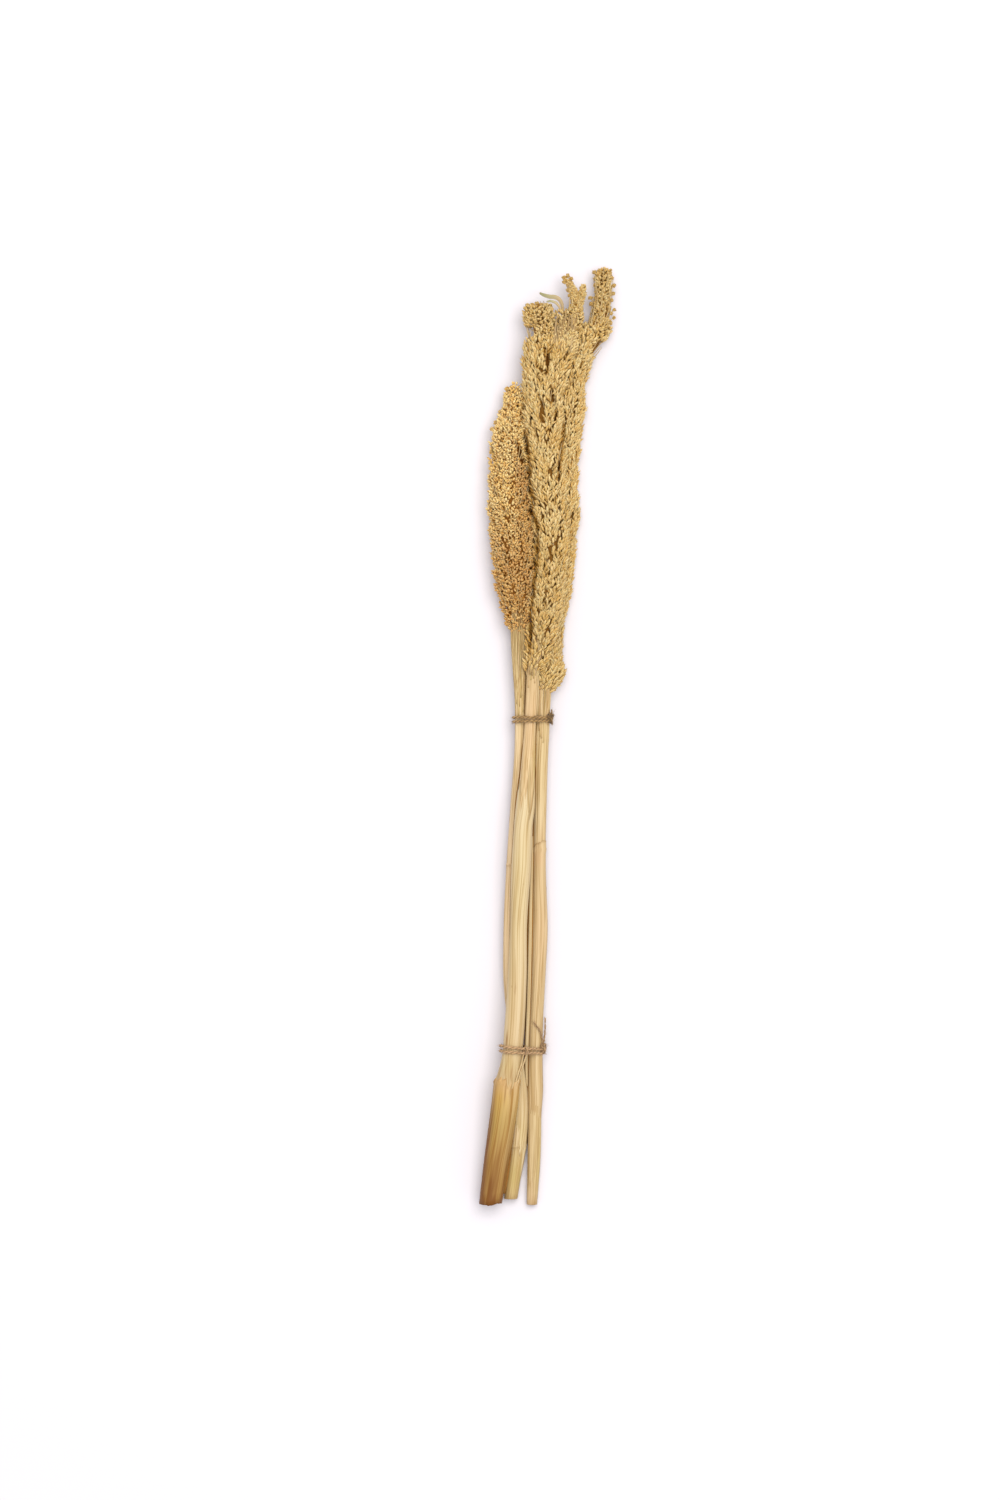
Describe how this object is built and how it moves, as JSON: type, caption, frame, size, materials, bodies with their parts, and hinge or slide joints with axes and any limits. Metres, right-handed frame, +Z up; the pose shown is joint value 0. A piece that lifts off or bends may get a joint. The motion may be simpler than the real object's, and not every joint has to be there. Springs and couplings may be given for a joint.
{
  "type": "dried cantal grass bunch",
  "caption": "Bunch of dried grass with dense seed heads, held by twine ties and lying flat, for dried flower arrangements.",
  "frame": {"origin": "on the surface that the bunch rests on, under the middle of its box", "axes": "+X to the right in the picture, +Y from the cut ends to the seed heads, +Z up from the surface towards the camera"},
  "size_m": [0.1008, 0.7043, 0.0317],
  "materials": {
    "straw": "dry, satin, faintly ribbed along the stem",
    "dry_sheath": "dry leaf sheath, matte with fine fibres",
    "brown_sheath": "dry brown leaf sheath, matte with coarse fibres",
    "tan_seed": "dry husks, matte",
    "pale_seed": "dry husks, matte",
    "jute": "hairy plied twine, matte"
  },
  "bodies": {
    "root": {"stem_left": "straw", "stem_middle": "straw", "stem_right": "straw", "sheath_left": "dry_sheath", "sheath_middle": "dry_sheath", "sheath_base": "brown_sheath", "sheath_right": "dry_sheath", "head_left": "tan_seed", "head_middle": "pale_seed", "head_right": "pale_seed", "tie_upper": "jute", "tie_lower": "jute"}
  },
  "joints": []
}
